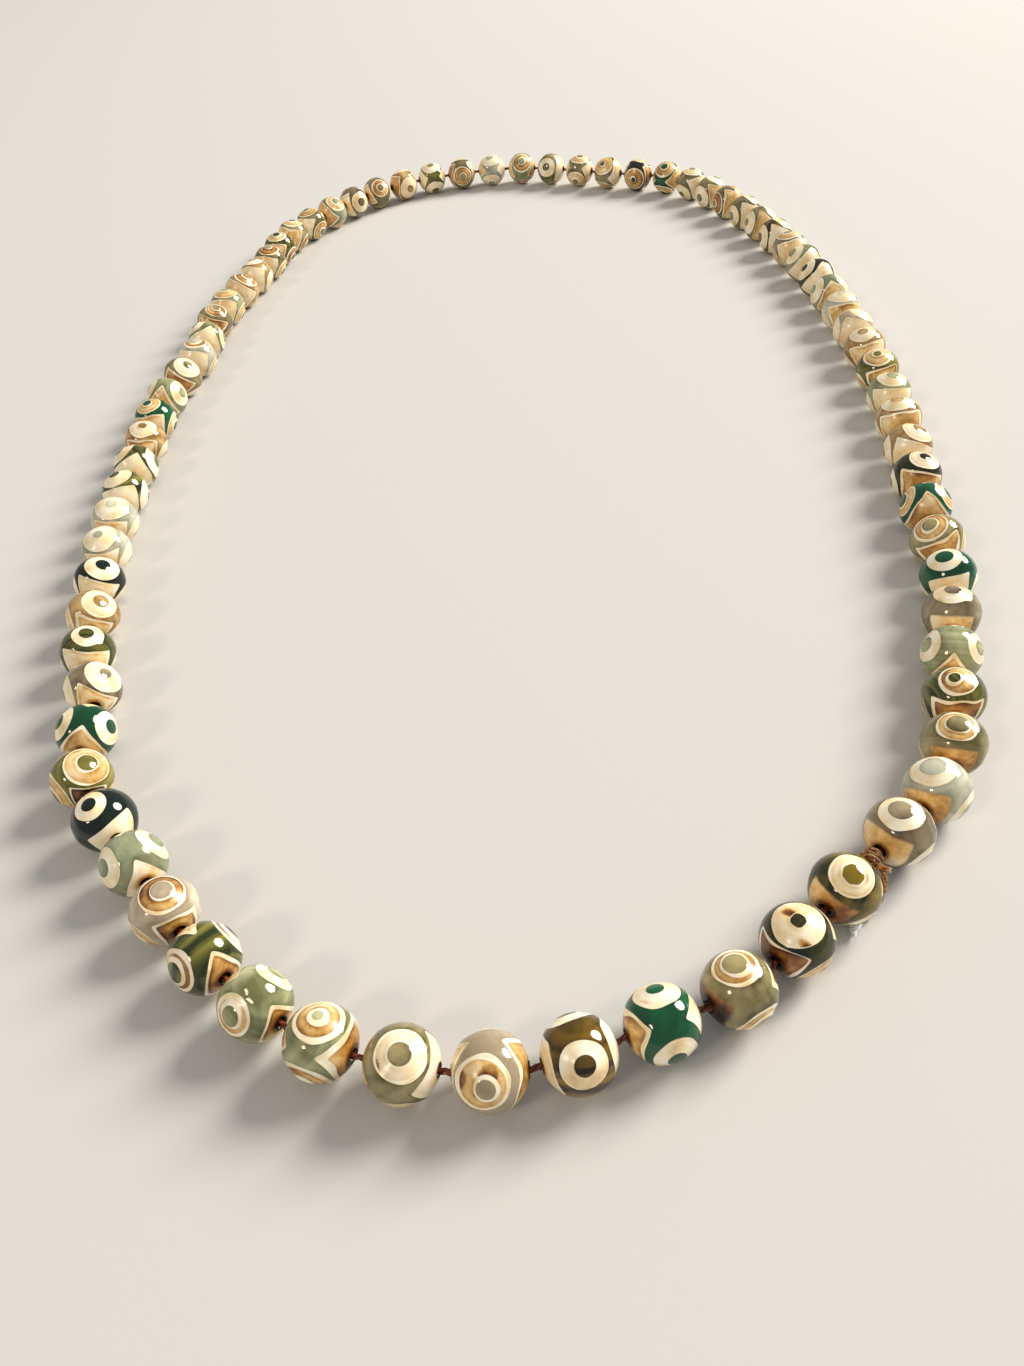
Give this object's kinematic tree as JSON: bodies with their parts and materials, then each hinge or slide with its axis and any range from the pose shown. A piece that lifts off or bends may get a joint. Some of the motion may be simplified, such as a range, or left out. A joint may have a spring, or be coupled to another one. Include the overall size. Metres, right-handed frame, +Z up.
{
  "type": "dzi bead necklace",
  "caption": "Closed loop of round drilled agate beads with an etched eye pattern on one thread, joined by a small knot, lying flat.",
  "frame": {"origin": "middle of the loop's outline on the surface that the beads rest on", "axes": "+Z up from that surface, +Y towards the far end of the long loop, +X to its right side; the knot is at the near right"},
  "size_m": [0.1504, 0.282, 0.008],
  "materials": {
    "etched_agate": "polished, with matt etched eyes",
    "nylon_thread": "amber-brown, slightly waxy",
    "knotted_thread": "clear amber, slightly waxy"
  },
  "bodies": {
    "root": {"bead_string": "etched_agate", "thread": "nylon_thread", "closing_knot": "knotted_thread"}
  },
  "joints": []
}
